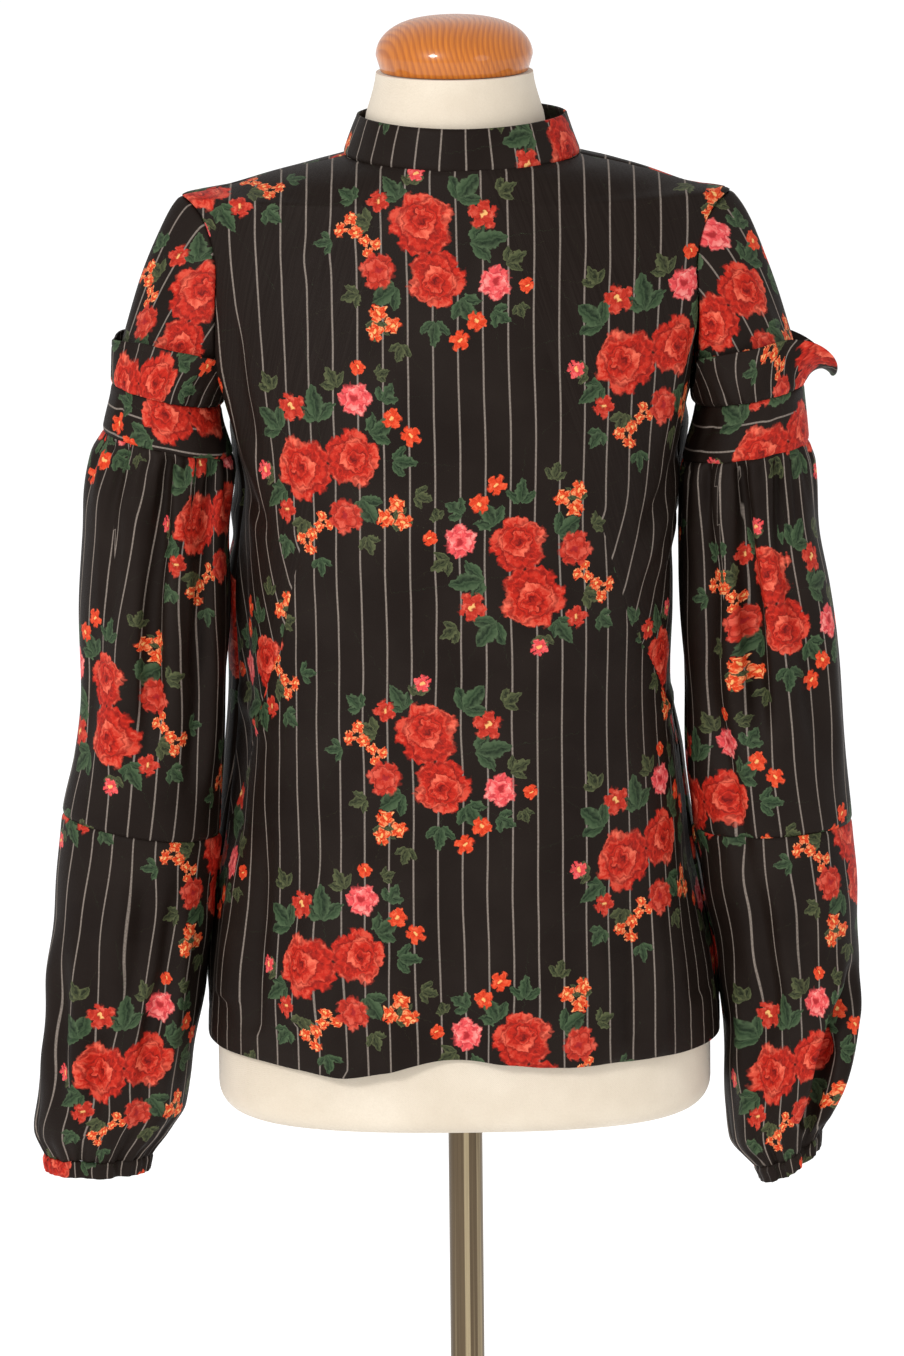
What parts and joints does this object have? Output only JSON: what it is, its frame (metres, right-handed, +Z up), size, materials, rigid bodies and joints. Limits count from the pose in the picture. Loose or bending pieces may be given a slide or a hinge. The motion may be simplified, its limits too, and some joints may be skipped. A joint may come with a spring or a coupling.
{
  "type": "long-sleeved blouse on a dress form",
  "caption": "Printed blouse with a standing collar, French darts and frilled balloon sleeves, shown on a limbless dress form with a wooden neck cap and a round base.",
  "frame": {"origin": "middle of the underside of the round base plate, on the floor", "axes": "+Z up along the pole, -Y towards the front of the blouse, +X to the right of a viewer who faces the front"},
  "size_m": [0.5537, 0.32, 1.2403],
  "materials": {
    "printed_cloth": "thin smooth woven cloth, near black with grey pinstripes and a red rose print",
    "button": "polished black",
    "thread_loop": "twisted black thread",
    "jersey": "cream knitted jersey, stretched smooth",
    "varnished_wood": "clear gloss varnish over orange-brown wood",
    "brushed_steel": "dark brushed steel tube",
    "painted_steel": "grey metallic enamel, satin"
  },
  "bodies": {
    "root": {"front": "printed_cloth", "back": "printed_cloth", "collar": "printed_cloth", "neck_button": "button", "neck_loop": "thread_loop", "upper_sleeve_left": "printed_cloth", "ruffle_left": "printed_cloth", "arm_band_left": "printed_cloth", "balloon_left": "printed_cloth", "lower_sleeve_left": "printed_cloth", "cuff_left": "printed_cloth", "upper_sleeve_right": "printed_cloth", "ruffle_right": "printed_cloth", "arm_band_right": "printed_cloth", "balloon_right": "printed_cloth", "lower_sleeve_right": "printed_cloth", "cuff_right": "printed_cloth", "form_torso": "jersey", "neck_cap": "varnished_wood", "pole": "brushed_steel", "base_plate": "painted_steel"}
  },
  "joints": []
}
